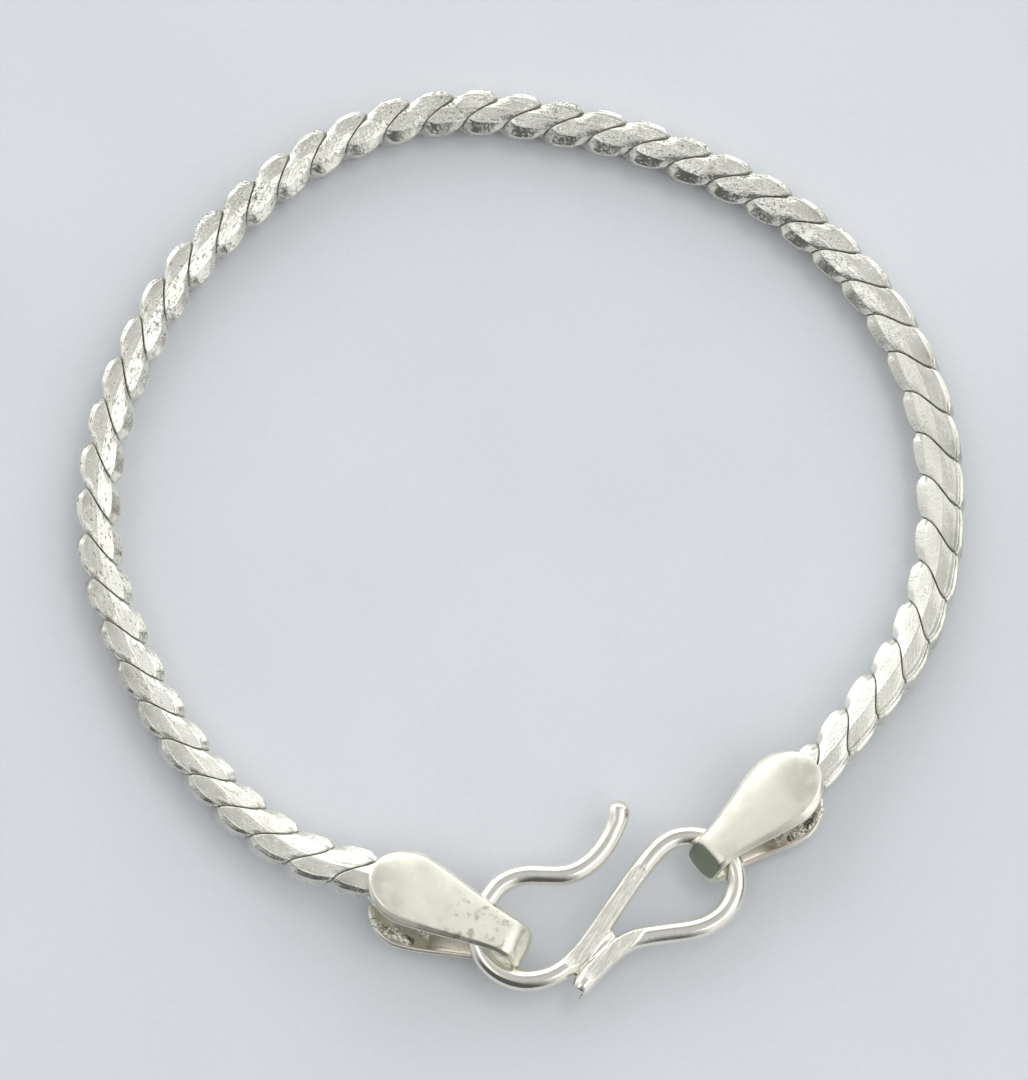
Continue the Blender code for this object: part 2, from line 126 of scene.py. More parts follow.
# Facing of the small flat filed on the fold, along and up
FILED_WAY = (0.76, 0.65)
LEFT_CAP = {"mouth": BRAID_ROUTE[0], "heading": -25.5, "length": 0.0127, "roll": 14.0, "shift": 0.0006,
            "outward": -90.0, "filed": 0.00008}
RIGHT_CAP = {"mouth": BRAID_ROUTE[-1], "heading": 220.4, "length": 0.0114, "roll": 12.0, "shift": 0.0003,
             "outward": 90.0, "filed": 0.00026}

# Middle line of the S-hook from its free tip to its rough end: along the line from the left eye to
# the right eye and out from it, both as shares of the distance between the eyes
HOOK_PATH = [
    (0.663, -0.281), (0.634, -0.231), (0.578, -0.171), (0.507, -0.124), (0.436, -0.102), (0.373, -0.104),
    (0.309, -0.125), (0.247, -0.147), (0.187, -0.156), (0.128, -0.146), (0.080, -0.118), (0.034, -0.078),
    (0.000, -0.036), (-0.022, 0.022), (-0.022, 0.095), (0.003, 0.158), (0.048, 0.208), (0.106, 0.240),
    (0.178, 0.253), (0.251, 0.244), (0.325, 0.215), (0.390, 0.175), (0.450, 0.132), (0.565, 0.045),
    (0.666, -0.026), (0.755, -0.080), (0.823, -0.100), (0.888, -0.092), (0.945, -0.063), (0.985, -0.017),
    (1.008, 0.040), (1.013, 0.100), (0.998, 0.155), (0.960, 0.207), (0.909, 0.243), (0.841, 0.260),
    (0.771, 0.257), (0.697, 0.243), (0.624, 0.229), (0.556, 0.222), (0.505, 0.228), (0.454, 0.245),
    (0.397, 0.273), (0.341, 0.303), (0.283, 0.337),
]
EYE_SETBACK = 0.0091
JOINT_PLACE = (0.412, 0.205)
JOINT_WAY = (-0.80, 0.60)
JOINT_WIDTH = 0.0020
JOINT_HEIGHT = 0.0009
WIRE_STEP = 0.00018
TIP_ROUND = 0.0006
TIP_SWELL = 0.13
# The shank's filed flat: shift from the joint towards its start, half length and half width
FLAT_SHIFT = 0.0022
FLAT_HALF_LENGTH = 0.0038
FLAT_HALF_WIDTH = 0.0020
# The torn spur at the rough end: distance past the end, radius
SPUR = [(-0.0003, 0.00022), (0.0000, 0.00020), (0.00022, 0.00014), (0.00042, 0.00008)]

# What the camera looks at, then moved down and left in the picture so that it fits the photographed view
CAMERA_AIM = np.array([0.0, 0.0, 0.0017])
CAMERA_DROP = 0.00075
CAMERA_SHIFT = np.array([0.000075, 0.0, 0.0])
LAMP_PLACE = (0.17, 0.17, 0.44)
LAMP_SIZE = (0.16, 0.14)
# Brightness of the studio's walls where no patch lies
PLAIN_WALL = 0.72
# Patches of the studio's light, laid one over another: azimuth from +X and height of the middle, angles
# from it at which the patch is full and at which it ends, and brightness
STUDIO_PATCHES = [
    (180.0, 20.0, 30.0, 70.0, 0.54),
    (90.0, 8.0, 40.0, 80.0, 1.45),
    (100.0, 62.0, 12.0, 26.0, 0.36),
    (0.0, 90.0, 12.0, 30.0, 0.47),
    (-98.0, 58.0, 10.0, 24.0, 0.34),
    (-112.0, 16.0, 32.0, 52.0, 0.08),
    (0.0, 0.0, 17.0, 28.0, 0.16),
    (48.0, 42.0, 12.0, 26.0, 0.62),
    (-8.0, 49.0, 11.0, 24.0, 1.2),
    (205.0, 62.0, 8.0, 18.0, 1.05),
    (-50.0, 58.0, 5.0, 10.0, 1.5),
]


def amount(name, description, default, low, high, **kind):
    """A number that a user can change."""
    return FloatProperty(name=name, description=description, default=default, min=low, max=high, **kind)


def metres(name, description, default, low, high):
    """A length that a user can change, in metres."""
    return amount(name, description, default, low, high, subtype="DISTANCE", unit="LENGTH")


def colour(name, description, default):
    """A colour that a user can change."""
    return FloatVectorProperty(name=name, description=description, default=default + (1.0,), size=4,
                               min=0.0, max=1.0, subtype="COLOR")


class BraidSettings(PropertyGroup):
    """Sizes and colours of the two strands."""

    section_width: metres(
        "Section width", "Width of the rolled braid over its side flats", 0.0035, 0.002, 0.006)
    section_depth: metres(
        "Section depth", "Depth of the rolled braid over its top and bottom flats", 0.0031, 0.002, 0.006)
    leaf_pitch: metres("Leaf pitch", "Length of one leaf along the braid", 0.00335, 0.002, 0.006)
    groove_width: metres(
        "Groove width", "Gap between two neighbouring leaves along the braid", 0.00006, 0.00003, 0.0005)
    groove_flattening: amount(
        "Groove flattening", "How much more lengthwise a groove runs on a face than on a side", 2.3, 1.0,
        4.0)
    slit: amount("Slit", "How much wider the groove is where it crosses the crease", 1.6, 0.0, 4.0)
    tuck_length: metres(
        "Tuck length", "Length over which a leaf slopes down under the next one's tip", 0.0011, 0.0002,
        0.0020)
    tuck_depth: metres(
        "Tuck depth", "Depth to which a leaf slopes down under the next one's tip", 0.00030, 0.0, 0.0005)
    lobe_depth: amount("Lobe depth", "Depth of the lobes as a share of the drawn depth", 1.0, 0.0, 1.5)
    edge_round: metres(
        "Edge round", "Length over which a leaf's edge rounds down into the groove", 0.00016, 0.0001,
        0.0008)
    core_radius: metres(
        "Core radius", "Radius of the clear core between the strands", 0.00040, 0.0001, 0.0008)
    silver: colour("Silver", "Colour of the rolled silver", (0.90, 0.895, 0.825))
    # Painted shade: this dark colour stands in for the shade down in the grooves between the leaves.
    groove_shade: colour("Groove tint", "Colour of the dull metal down in the grooves", (0.30, 0.30, 0.24))


class CapSettings(PropertyGroup):
    """Sizes and colours of the two fold-over end caps."""

    width: metres("Width", "Widest part of the teardrop leaf", 0.0056, 0.003, 0.009)
    bulge: metres("Bulge", "Distance from the mouth to the widest part", 0.0033, 0.001, 0.006)
    neck_width: metres("Neck width", "Width of the strip at the fold", 0.0029, 0.001, 0.005)
    mouth_height: metres("Mouth height", "Height over the two leaves at the mouth", 0.0045, 0.003, 0.008)
    fold_height: metres("Fold height", "Height over the rounded fold", 0.0038, 0.002, 0.006)
    sheet: metres("Sheet", "Thickness of the folded sheet", 0.00045, 0.0003, 0.001)
    crown: metres("Crown", "How far a leaf is domed", 0.00038, 0.0, 0.001)
    lip: metres("Lip", "How far a leaf's rim is turned down", 0.00015, 0.0, 0.0005)
    columns: IntProperty(
        name="Columns", description="Columns of the mesh across a leaf", default=41, min=9, max=81)
    silver: colour("Silver", "Colour of the satin sheet", (0.895, 0.89, 0.785))
    solder: colour("Solder", "Colour of the grainy solder inside", (0.20, 0.17, 0.15))
    stain: colour("Stain", "Colour of the stain at the neck", (0.40, 0.36, 0.26))


class HookSettings(PropertyGroup):
    """Sizes and colours of the S-hook."""

    wire: metres("Wire", "Diameter of the wire", 0.0016, 0.001, 0.003)
    sides: IntProperty(
        name="Sides", description="Sides of the swept wire's mesh", default=28, min=8, max=48)
    joint_length: metres("Joint length", "Length of the soldered joint", 0.0034, 0.001, 0.006)
    filed_height: metres(
        "Filed height", "Height above the wire's middle at which its shank is filed flat", 0.00058, 0.0003,
        0.0008)
    grain: metres("Grain", "Size of the mesh's squares on the wire", 0.00009, 0.00006, 0.0003)
    silver: colour("Silver", "Colour of the bright wire", (0.91, 0.90, 0.83))


class StageSettings(PropertyGroup):
    """Camera, floor and light."""

    elevation: amount("Elevation", "Angle of the view above the surface, in degrees", 80.0, 10.0, 90.0)
    distance: metres("Distance", "Distance from the camera to the bracelet", 0.280, 0.1, 1.0)
    lens: amount("Lens", "Focal length in millimetres", 130.7, 30.0, 300.0)
    floor_colour: colour("Floor", "Colour of the pale surface", (0.735, 0.757, 0.80))
    sky_strength: amount("Sky", "Strength of the light all round", 1.26, 0.0, 5.0)
    sky_tint: colour("Sky tint", "Tint of the light all round", (1.0, 1.0, 0.99))
    key_power: amount("Key light", "Power of the large soft light", 0.20, 0.0, 50.0, unit="POWER")


def unit(vector):
    """The vector at length one."""
    return vector / np.linalg.norm(vector)


def rows_unit(vectors):
    """Each row at length one."""
    return vectors / np.linalg.norm(vectors, axis=-1, keepdims=True)


def heading(degrees):
    """A level direction at this angle from +X."""
    angle = math.radians(degrees)
    return np.array([math.cos(angle), math.sin(angle), 0.0])


def smoothstep(value):
    """Zero below 0, one above 1 and a smooth rise between."""
    value = np.clip(value, 0.0, 1.0)
    return value * value * (3.0 - 2.0 * value)


def smooth_line(points, step):
    """Catmull-Rom curve through the points, read again at even steps."""
    points = np.array(points, dtype=float)
    padded = np.vstack([2 * points[0] - points[1], points, 2 * points[-1] - points[-2]])
    dense = []
    for before, start, end, after in zip(padded, padded[1:], padded[2:], padded[3:]):
        for t in np.linspace(0.0, 1.0, CURVE_STEPS, endpoint=False):
            dense.append(0.5 * (2 * start + (end - before) * t
                                + (2 * before - 5 * start + 4 * end - after) * t ** 2
                                + (3 * start - before - 3 * end + after) * t ** 3))
    dense.append(points[-1])
    dense = np.array(dense)
    travelled = np.concatenate([[0.0], np.cumsum(np.linalg.norm(np.diff(dense, axis=0), axis=1))])
    count = max(2, round(travelled[-1] / step)) + 1
    wanted = np.linspace(0.0, travelled[-1], count)
    return np.column_stack([np.interp(wanted, travelled, column) for column in dense.T]), wanted


def grid_faces(row_count, row_size, closed):
    """Quads of a sheet of rows, whose rows close on themselves or not."""
    sides = row_size if closed else row_size - 1
    row = np.arange(row_count - 1)[:, None] * row_size
    side = np.arange(sides)[None, :]
    start = row + side
    end = row + (side + 1) % row_size
    return np.stack([start, end, end + row_size, start + row_size], -1).reshape(-1, 4)


def even_turns(count):
    """Angles at even steps over one full turn."""
    return np.linspace(0.0, 2 * math.pi, count, endpoint=False)


def tube_faces(row_count, row_size, first=0):
    """Faces of a closed tube of rows and of its two ends, whose points are counted from first."""
    last = first + (row_count - 1) * row_size
    return ([tuple(face) for face in grid_faces(row_count, row_size, True) + first]
            + [tuple(range(first, first + row_size)), tuple(range(last, last + row_size))])


def raw_mesh(name, points, faces):
    """A mesh of these points and faces."""
    mesh = bpy.data.meshes.new(name)
    mesh.from_pydata([tuple(point) for point in points], [], [tuple(int(i) for i in face) for face in faces])
    return mesh


def make_piece(name, points, faces, materials, material_of=None, sharp=50.0):
    """A mesh object of these points and faces, turned outward and shaded smooth."""
    mesh = raw_mesh(name, points, faces)
    for material in materials:
        mesh.materials.append(material)
    if material_of is not None:
        mesh.polygons.foreach_set("material_index", np.asarray(material_of, dtype=np.int32))
    shell = bmesh.new()
    shell.from_mesh(mesh)
    bmesh.ops.recalc_face_normals(shell, faces=shell.faces)
    shell.to_mesh(mesh)
    shell.free()
    mesh.shade_smooth()
    mesh.set_sharp_from_angle(angle=math.radians(sharp))
    piece = bpy.data.objects.new(name, mesh)
    bpy.context.scene.collection.objects.link(piece)
    return piece


def carry(piece, name, values, kind="FLOAT"):
    """A number, or a vector, for each point of the piece, which its material can read."""
    field = piece.data.attributes.new(name, kind, "POINT")
    key = "value" if kind == "FLOAT" else "vector"
    field.data.foreach_set(key, np.asarray(values, dtype=np.float32).ravel())


def blended(points, faces, voxel, passes):
    """Points and faces of one closed skin round these shells, with the seams between them softened."""
    mesh = raw_mesh("shells", points, faces)
    shells = bpy.data.objects.new("shells", mesh)
    bpy.context.scene.collection.objects.link(shells)
    remesh = shells.modifiers.new("blend", "REMESH")
    remesh.mode = "VOXEL"
    remesh.voxel_size = voxel
    soften = shells.modifiers.new("soften", "SMOOTH")
    soften.factor = 0.5
    soften.iterations = passes
    ready = bpy.data.meshes.new_from_object(shells.evaluated_get(bpy.context.evaluated_depsgraph_get()))
    found = np.empty(len(ready.vertices) * 3, dtype=np.float32)
    ready.vertices.foreach_get("co", found)
    skin = [tuple(face.vertices) for face in ready.polygons]
    bpy.data.objects.remove(shells)
    bpy.data.meshes.remove(mesh)
    bpy.data.meshes.remove(ready)
    return found.reshape(-1, 3).astype(float), skin


class Cap:
    """Place and axes of one fold-over end cap."""

    def __init__(self, settings, plan):
        self.length = plan["length"]
        self.shift = plan["shift"]
        self.filed = plan["filed"]
        lean = math.radians(plan["roll"])
        level_out = heading(plan["heading"] + plan["outward"])
        self.across = math.cos(lean) * level_out + math.sin(lean) * UP
        self.up = -math.sin(lean) * level_out + math.cos(lean) * UP
        half_mouth = settings.mouth_height / 2 + settings.crown
        mouth_height = half_mouth * math.cos(lean) + CAP_FOOT_REACH * settings.width * math.sin(lean)
        fold_height = settings.fold_height / 2 * math.cos(lean) + settings.neck_width / 2 * math.sin(lean)
        drop = (fold_height - mouth_height) / self.length
        self.along = unit(heading(plan["heading"]) + drop * UP)
        self.mouth_height = mouth_height
        self.mouth = np.array([plan["mouth"][0], plan["mouth"][1], mouth_height]) + STAND

    def at(self, local):
        """World points of points given along, across and up from the cap's mouth."""
        local = np.asarray(local)
        return (self.mouth + local[..., 0:1] * self.along + local[..., 1:2] * self.across
                + local[..., 2:3] * self.up)


def section_reach(angle):
    """Reach of the rolled section in these directions, as a share of its half sizes."""
    corners = SECTION_CORNERS + [(-across, -deep) for across, deep in SECTION_CORNERS]
    turned = np.radians(angle)
    found = np.full(np.shape(angle), 9.0)
    for start, end in zip(corners, corners[1:] + corners[:1]):
        normal = (end[1] - start[1], start[0] - end[0])
        facing = normal[0] * np.cos(turned) + normal[1] * np.sin(turned)
        reach = (normal[0] * start[0] + normal[1] * start[1]) / np.where(facing > 1e-9, facing, 1e-9)
        found = np.minimum(found, np.where(facing > 1e-9, reach, 9.0))
    return found


def groove_count(angle, flattening):
    """Leaves that a groove has passed when it has wound to this angle round the flattened twist."""
    turns, rest = np.divmod(angle, 180.0)
    return turns + 0.5 + np.arctan(flattening * np.tan(np.radians(rest - 90.0))) / math.pi


class Braid:
    """The braid's middle line in space, with its frames and its count of leaves."""

    def __init__(self, settings, left, right):
        self.settings = settings
        start = left.at([BRAID_IN_CAP, 0, 0])[:2] - STAND[:2]
        end = right.at([BRAID_IN_CAP, 0, 0])[:2] - STAND[:2]
        plan, self.travelled = smooth_line([start] + BRAID_ROUTE + [end], ROUTE_STEP)
        self.length = self.travelled[-1]
        share = self.travelled / self.length
        shares, rolls, widths, depths, inner, outer = zip(*BRAID_LAY)
        self.roll = np.radians(np.interp(share, shares, rolls))
        self.half_width = settings.section_width / 2 * np.interp(share, shares, widths)
        self.half_depth = settings.section_depth / 2 * np.interp(share, shares, depths)
        self.inner_lobe = settings.lobe_depth * np.interp(share, shares, inner)
        self.outer_lobe = settings.lobe_depth * np.interp(share, shares, outer)
        corners = np.array(SECTION_CORNERS)
        across = self.half_width[:, None] * corners[:, 0] * np.sin(self.roll)[:, None]
        deep = self.half_depth[:, None] * corners[:, 1] * np.cos(self.roll)[:, None]
        rest = np.abs(deep - across).max(axis=1)
        height = rest.copy()
        for cap, from_end in ((left, self.travelled), (right, self.length - self.travelled)):
            outside = from_end - BRAID_IN_CAP
            pull = 1.0 - smoothstep(outside / BRAID_RISE)
            height += pull * (cap.mouth_height - np.minimum(outside, 0.0) * cap.along[2] - rest)
        self.centre = np.column_stack([plan, height]) + STAND
        tangent = rows_unit(np.gradient(self.centre, axis=0))
        self.inward = rows_unit(np.cross(tangent, UP))
        self.upward = np.cross(self.inward, tangent)
        pitches = settings.leaf_pitch * np.interp(share, *zip(*LEAF_SHARES))
        counted = np.concatenate([[0.0], np.cumsum(np.diff(self.travelled) / pitches[1:])])
        self.leaves = counted - np.interp(BRAID_IN_CAP + LEAF_START, self.travelled, counted)

    def read(self, where, columns):
        """The columns of a table along the braid, read at these distances."""
        if columns.ndim == 1:
            return np.interp(where, self.travelled, columns)
        return np.stack([np.interp(where, self.travelled, column) for column in columns.T], -1)

    def points(self, where, angle, reach, sink, place):
        """World points of the skin by distance, angle round the section, reach, fall in metres and place."""
        turned = np.radians(angle)
        lean = self.read(where, self.roll)
        shares, depths = zip(*LOBE)
        inner = 1.0 - self.read(where, self.inner_lobe) * np.interp(place, shares, depths)
        outer = 1.0 - self.read(where, self.outer_lobe) * np.interp(1.0 - place, shares, depths)
        limit = np.where(np.cos(turned) > 0.0, inner, outer)
        wish = reach * np.abs(np.cos(turned))
        kept = wish * (1.0 - (1.0 - limit) * np.minimum(wish, 1.0))
        kept *= 1.0 - UNDERCUT * smoothstep(-np.sin(turned) / 0.7) * (np.cos(turned) > 0.0)
        across = np.sign(np.cos(turned)) * kept * self.read(where, self.half_width)
        deep = reach * self.read(where, self.half_depth) * np.sin(turned)
        size = np.maximum(np.hypot(across, deep), 1e-6)
        across = across * (1.0 - sink / size)
        deep = deep * (1.0 - sink / size)
        side = across * np.cos(lean) + deep * np.sin(lean)
        lift = deep * np.cos(lean) - across * np.sin(lean)
        found = self.read(where, self.centre) + side[..., None] * self.read(where, self.inward)
        found += lift[..., None] * self.read(where, self.upward)
        found[..., 2] = np.maximum(found[..., 2], 0.0)
        return found


def turn_steps():
    """Angles over one half turn at which a strand is laid, close together at its crease and its rims."""
    return np.concatenate([
        np.arange(0.0, 13.0, 4.0), np.arange(13.0, 25.0, 1.7), np.arange(25.0, 42.0, 2.8),
        np.arange(42.0, 55.0, 1.6), np.arange(55.0, 84.0, 3.6), np.arange(84.0, 96.0, 2.0),
        np.arange(96.0, 118.0, 3.0), np.arange(118.0, 140.0, 1.6), np.arange(140.0, 178.0, 4.0)])


def groove_gap(settings, angle):
    """Half the gap between two leaves, in leaves: a thin line, open at the crease."""
    from_crease = (angle % 180.0 - 88.0) / 13.0
    width = settings.groove_width * (1.0 + settings.slit * np.exp(-from_crease ** 2))
    return width / 2 / settings.leaf_pitch


def leaf_sink(settings, braid, place, where, across):
    """Fall of the skin, in metres: rounded edges, tucked ends, thin layers at the tips and ripples."""
    pitch = settings.leaf_pitch
    share = where / braid.length
    outer = smoothstep((0.20 - across) / 0.75)
    inner = smoothstep((across + 0.05) / 0.75)
    narrow = settings.edge_round / pitch
    wide = settings.tuck_length / pitch
    depth = settings.tuck_depth * np.interp(share, *zip(*TUCK_SHARES))
    fall = np.zeros_like(place)
    for from_end, tucked in ((place, outer), (1.0 - place, 0.6 * inner)):
        edge = 1.0 - np.sqrt(1.0 - (1.0 - np.clip(from_end / narrow, 0.0, 1.0)) ** 2)
        tuck = (1.0 - np.clip(from_end / wide, 0.0, 1.0)) ** 1.3 * tucked
        fall = np.maximum(fall, EDGE_FALL * edge) + depth * tuck
        layer = smoothstep((LAYER_PLACE - from_end) / 0.02) * smoothstep((np.abs(across) - 0.60) / 0.2)
        fall = fall + LAYER_FALL * layer * (1.0 - tucked)
    ripple = 0.5 - 0.5 * np.cos(2.0 * math.pi * (across + 0.03 * np.sin(360.0 * share)) / 0.21)
    rim_band = smoothstep((-across - 0.42) / 0.08) * smoothstep((0.90 + across) / 0.06)
    rim_share = np.interp(share, *zip(*RIM_RIPPLE))
    crease_band = smoothstep((0.26 - np.abs(across - 0.06)) / 0.08)
    crease_share = np.interp(share, *zip(*CREASE_RIPPLE))
    return fall + RIPPLE_DEPTH * ripple * (rim_band * rim_share + crease_band * crease_share)


def build_strand(settings, braid, number, material):
    """One strand as a fine mesh: its leaves, the walls of its grooves and its edge by the core."""
    turns = np.arange(math.floor(braid.leaves[0]) - 1, math.ceil(braid.leaves[-1]) + 1)
    angles = (180.0 * turns[:, None] + turn_steps()[None, :]).ravel()
    starts = groove_count(angles, settings.groove_flattening) + number
    kept = (starts >= braid.leaves[0]) & (starts + 1.0 <= braid.leaves[-1])
    angles = angles[kept]
    starts = starts[kept]
    gap = groove_gap(settings, angles)[:, None]
    even = np.array([0.0, 0.0] + LEAF_PLACES + [1.0, 1.0])[None, :]
    place = gap + (1.0 - 2.0 * gap) * even
    angle = angles[:, None] + np.zeros_like(place)
    where = np.interp(starts[:, None] + place, braid.leaves, braid.travelled)
    reach = section_reach(angle)
    turned = np.radians(angle % 180.0)
    across = reach * np.cos(turned)
    sink = leaf_sink(settings, braid, place, where, across)
    core = settings.core_radius / (settings.section_depth / 2)
    for end in (0, -1):
        reach[:, end] = core
        sink[:, end] = 0.0
    points = braid.points(where, angle, reach, sink, place)
    piece = make_piece("twisted_strand_%d" % (number + 1), points.reshape(-1, 3), tube_faces(*place.shape),
                       [material], sharp=70.0)
    # The groove mask, with a faint line at the step where each thin tip layer ends, says where painted shade
    # darkens the leaves; it also roughens them there.
    from_edge = np.minimum(even, 1.0 - even) + np.zeros_like(place)
    depth = smoothstep(1.0 - from_edge / 0.035)
    layer = np.exp(-((np.minimum(place, 1.0 - place) - LAYER_PLACE) / 0.012) ** 2)
    layer *= smoothstep((np.abs(across) - 0.66) / 0.15) * (np.where(across < 0.0, 1.0 - place, place) < 0.5)
    depth = np.maximum(depth, 0.8 * layer)
    depth[:, 0] = 1.0
    depth[:, -1] = 1.0
    carry(piece, "groove", depth)
    carry(piece, "lay", np.stack([where, across * settings.section_width / 2 + np.floor(angle / 180.0),
                                  place * settings.leaf_pitch], -1), "FLOAT_VECTOR")
    carry(piece, "leaf", np.stack([place, across, where / braid.length], -1), "FLOAT_VECTOR")
    return piece


def cap_half_width(settings, along, length):
    """Half width of the cap's teardrop outline at a distance from its mouth."""
    bulge = settings.bulge
    fullest = settings.width / 2
    if along < bulge:
        return fullest * math.sqrt(max(0.0, 1.0 - (1.0 - along / bulge) ** 2))
    taper = (along - bulge) / (length - settings.fold_height / 2 - bulge)
    ease = 0.55 * min(taper, 1.0) + 0.45 * float(smoothstep(taper))
    return (settings.width + (settings.neck_width - settings.width) * ease) / 2


def cap_half_height(settings, along, length):
    """Half height between the cap's two rims, from the mouth to where the fold begins."""
    taper = min(along / (length - settings.fold_height / 2), 1.0)
    return (settings.mouth_height + (settings.fold_height - settings.mouth_height) * taper) / 2


def cap_skin(settings, cap):
    """Outer skin of the folded sheet as rows of points: over the top, round the fold and back."""
    radius = settings.fold_height / 2
    leaf_end = cap.length - radius
    round_end = [settings.bulge * (1.0 - math.cos(math.radians(turn)))
                 for turn in np.linspace(14.0, 90.0, 17)]
    taper = list(np.linspace(settings.bulge, leaf_end, 33)[1:])
    stops = [(along, cap_half_height(settings, along, cap.length)) for along in round_end + taper]
    fold = [(leaf_end + radius * math.cos(math.radians(turn)), radius * math.sin(math.radians(turn)), turn)
            for turn in np.linspace(84.0, -84.0, 43)]
    path = [(along, up, 90.0) for along, up in stops] + fold
    path += [(along, -up, -90.0) for along, up in reversed(stops)]
    rows = []
    for along, up, turn in path:
        half = cap_half_width(settings, along, cap.length)
        crown = settings.crown * half / (settings.width / 2)
        back = float(smoothstep((leaf_end - along) / (leaf_end - settings.bulge))) if turn < 0 else 0.0
        along += 0.0006 * max(0.0, 1.0 - along / leaf_end) if turn < 0 else 0.0
        share = np.linspace(-1.0, 1.0, settings.columns)
        bulge = crown * (1.0 - np.abs(share) ** 2.6)
        bulge -= settings.lip * smoothstep((np.abs(share) - 0.84) / 0.16)
        rows.append(np.stack([along + bulge * math.cos(math.radians(turn)), half * share + cap.shift * back,
                              up + bulge * math.sin(math.radians(turn))], -1))
    rows = np.array(rows)
    over = (rows[..., 0] - leaf_end) * FILED_WAY[0] + rows[..., 2] * FILED_WAY[1]
    over = np.maximum(over - radius - settings.crown / 2 + cap.filed, 0.0)
    rows[..., 0] -= over * FILED_WAY[0]
    rows[..., 2] -= over * FILED_WAY[1]
    return rows


def build_cap(name, settings, cap, satin, solder):
    """Folded teardrop sheet with rounded rims and the grainy solder inside it."""
    skin = cap_skin(settings, cap)
    normals = rows_unit(np.cross(np.gradient(skin, axis=0), np.gradient(skin, axis=1)))
    normals *= math.copysign(1.0, normals[0, settings.columns // 2, 2])
    half = settings.sheet / 2

    def rim(side, beside, turns):
        """Rounded rim at one side of the sheet."""
        out = rows_unit(skin[:, side] - skin[:, beside])
        return np.stack([skin[:, side] - half * normals[:, side]
                         + half * (0.75 * math.cos(turn) * out - math.sin(turn) * normals[:, side])
                         for turn in np.radians(turns)], 1)

    rings = np.concatenate([skin, rim(-1, -2, RIM_TURNS), (skin - 2 * half * normals)[:, ::-1],
                            rim(0, 1, RIM_TURNS[::-1])], axis=1)
    points = cap.at(rings).reshape(-1, 3)
    faces = tube_faces(*rings.shape[:2])
    sheet_faces = len(faces)
    middle = BRAID_IN_CAP + SOLDER_GAP + SOLDER_LENGTH / 2
    half_height = cap_half_height(settings, middle, cap.length) - settings.sheet + SOLDER_SINK
    half_height += settings.crown
    levels = np.linspace(-1.0, 1.0, 31)[:, None]
    turns = even_turns(72)
    waist = 0.86 + 0.14 * levels ** 2
    lumps = 0.00010 * np.sin(7.0 * turns + 9.0 * levels) * np.sin(5.0 * turns - 11.0 * levels)
    plug = np.stack([middle + (waist * SOLDER_LENGTH / 2 + lumps) * np.cos(turns),
                     (waist * SOLDER_WIDTH / 2 + lumps) * np.sin(turns),
                     levels * half_height + 0.0 * turns], -1)
    faces += tube_faces(31, 72, len(points))
    points = np.concatenate([points, cap.at(plug).reshape(-1, 3)])
    beads = np.random.default_rng(7)
    rows = np.radians(np.linspace(-84.0, 84.0, 9))[:, None]
    turns = even_turns(14)
    for _ in range(BEAD_COUNT):
        along = BEAD_ALONG[0] + BEAD_ALONG[1] * beads.random()
        size = BEAD_SIZE[0] + BEAD_SIZE[1] * beads.random()
        widest = cap_half_width(settings, along, cap.length) - size - SOLDER_SINK
        out = min(BEAD_OUT[0] + BEAD_OUT[1] * beads.random(), widest) + cap.shift * 0.8
        floor = -cap_half_height(settings, along, cap.length) + settings.sheet - SOLDER_SINK + 0.3 * size
        bead = np.stack([along + size * np.cos(rows) * np.cos(turns),
                         out + size * np.cos(rows) * np.sin(turns),
                         floor + 0.8 * size * np.sin(rows) + 0.0 * turns], -1)
        faces += tube_faces(9, 14, len(points))
        points = np.concatenate([points, cap.at(bead).reshape(-1, 3)])
    kinds = [0] * sheet_faces + [1] * (len(faces) - sheet_faces)
    piece = make_piece(name, points, faces, [satin, solder], kinds, sharp=60.0)
    local = (points - cap.mouth) @ np.linalg.inv(np.stack([cap.along, cap.across, cap.up]))
    whole = np.array([cap.length, settings.width, settings.mouth_height])
    carry(piece, "leaf", local / whole, "FLOAT_VECTOR")
    leaf_end = cap.length - settings.fold_height / 2
    reach = (local[:, 0] - leaf_end) * FILED_WAY[0] + local[:, 2] * FILED_WAY[1]
    flat = settings.fold_height / 2 + settings.crown / 2 - cap.filed
    carry(piece, "filed", smoothstep((reach - flat + 0.00003) / 0.00002) * (cap.filed > 0.0002))
    return piece


